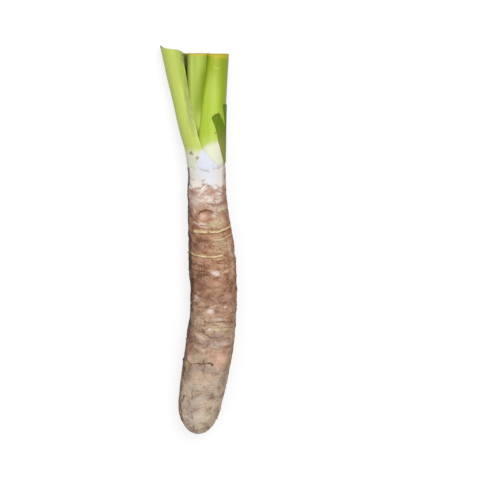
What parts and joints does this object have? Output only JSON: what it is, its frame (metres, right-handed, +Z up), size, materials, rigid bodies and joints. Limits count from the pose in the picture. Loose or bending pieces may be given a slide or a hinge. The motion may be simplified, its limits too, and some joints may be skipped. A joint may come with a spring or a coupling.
{
  "type": "taro root",
  "caption": "Long freshly dug taro corm, blunt at the tip, with its green leaf stalks cut short above the crown, lying on its side.",
  "frame": {"origin": "on the surface that the root lies on, under the middle of its bounding box", "axes": "+Y along the root from the corm's tip towards the cut leaf stalks, +Z up, away from the surface"},
  "size_m": [0.0976, 0.4894, 0.0587],
  "materials": {
    "corm_skin": "matte",
    "outer_stalk": "satin",
    "inner_stalk": "satin",
    "young_stalk": "satin",
    "old_sheath": "satin"
  },
  "bodies": {
    "root": {"corm": "corm_skin", "left_leaf_stalk": "outer_stalk", "right_leaf_stalk": "inner_stalk", "middle_leaf_stalk": "young_stalk", "old_sheath_strip": "old_sheath"}
  },
  "joints": []
}
